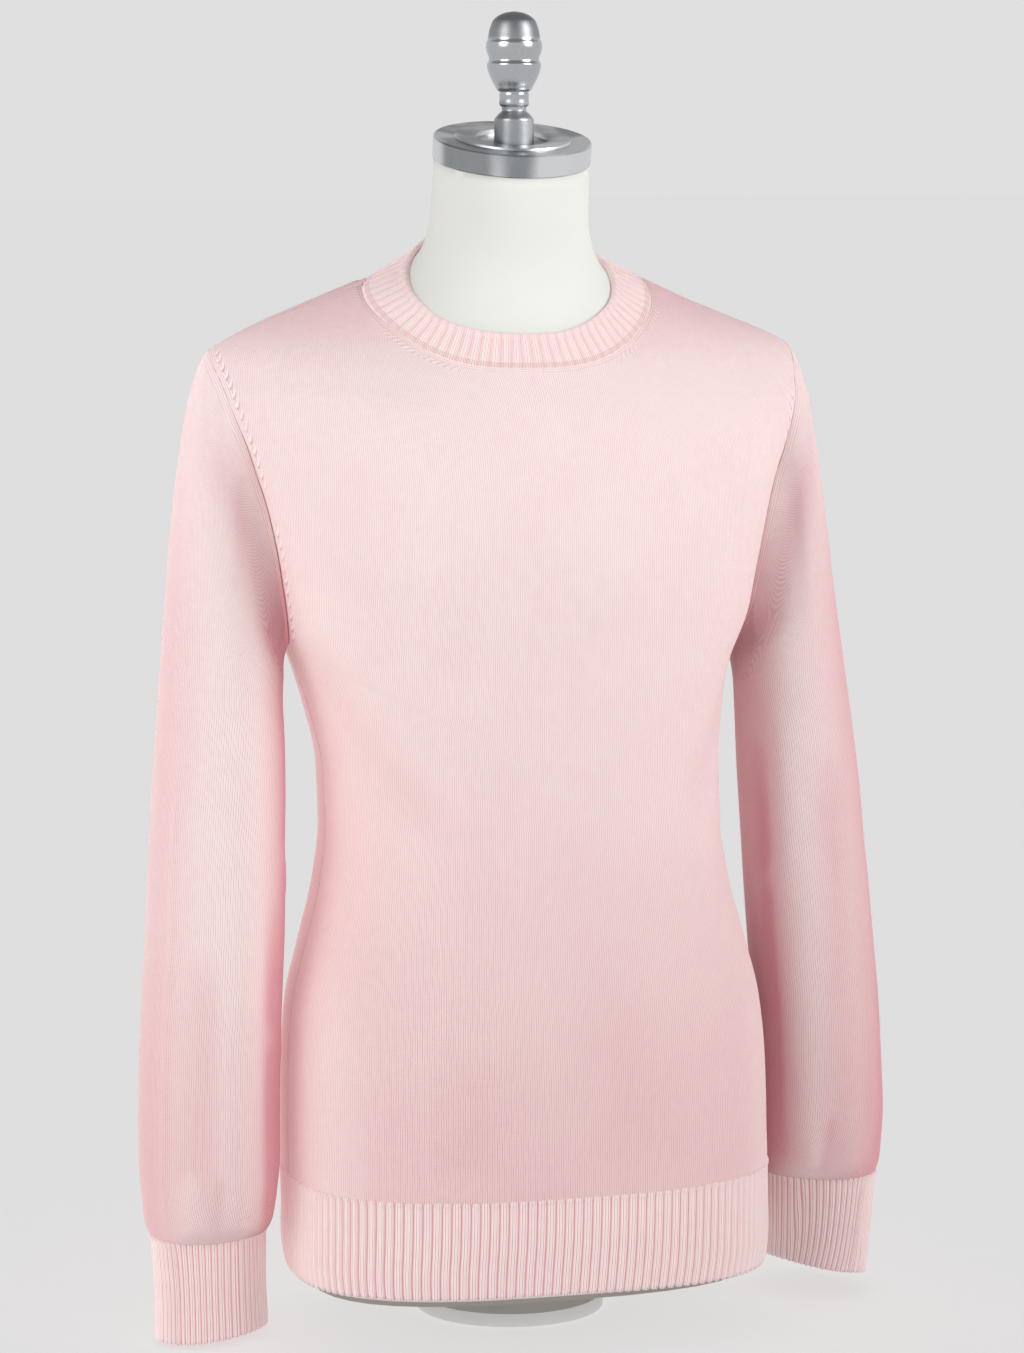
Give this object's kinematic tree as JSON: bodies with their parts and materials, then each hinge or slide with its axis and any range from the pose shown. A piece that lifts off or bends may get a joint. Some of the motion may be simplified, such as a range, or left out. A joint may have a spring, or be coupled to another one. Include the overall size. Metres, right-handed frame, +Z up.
{
  "type": "crewneck sweater on dress form",
  "caption": "Fine-knit crewneck sweater with set-in sleeves and ribbed neck, cuffs and hem, worn by a limbless dress form with a metal cap.",
  "frame": {"origin": "centre of the bounding box on the floor, under the form", "axes": "+Z up, the sweater's front towards -Y, the wearer's left towards +X"},
  "size_m": [0.5287, 0.274, 0.888],
  "materials": {
    "pink_knit": "fine stockinette cotton knit, matt",
    "pink_rib": "ribbed cotton knit, matt",
    "cream_cover": "smooth cream cover, matt",
    "dark_board": "dark stained board",
    "turned_aluminium": "turned, satin",
    "pale_foot": "satin pale grey"
  },
  "bodies": {
    "root": {"front": "pink_knit", "back": "pink_knit", "sleeve_left": "pink_knit", "sleeve_right": "pink_knit", "cuff_left": "pink_rib", "cuff_right": "pink_rib", "hem_rib_front": "pink_rib", "hem_rib_back": "pink_rib", "neck_rib": "pink_rib", "form_body": "cream_cover", "base_board": "dark_board", "neck_cap": "turned_aluminium", "finial": "turned_aluminium", "foot": "pale_foot"}
  },
  "joints": []
}
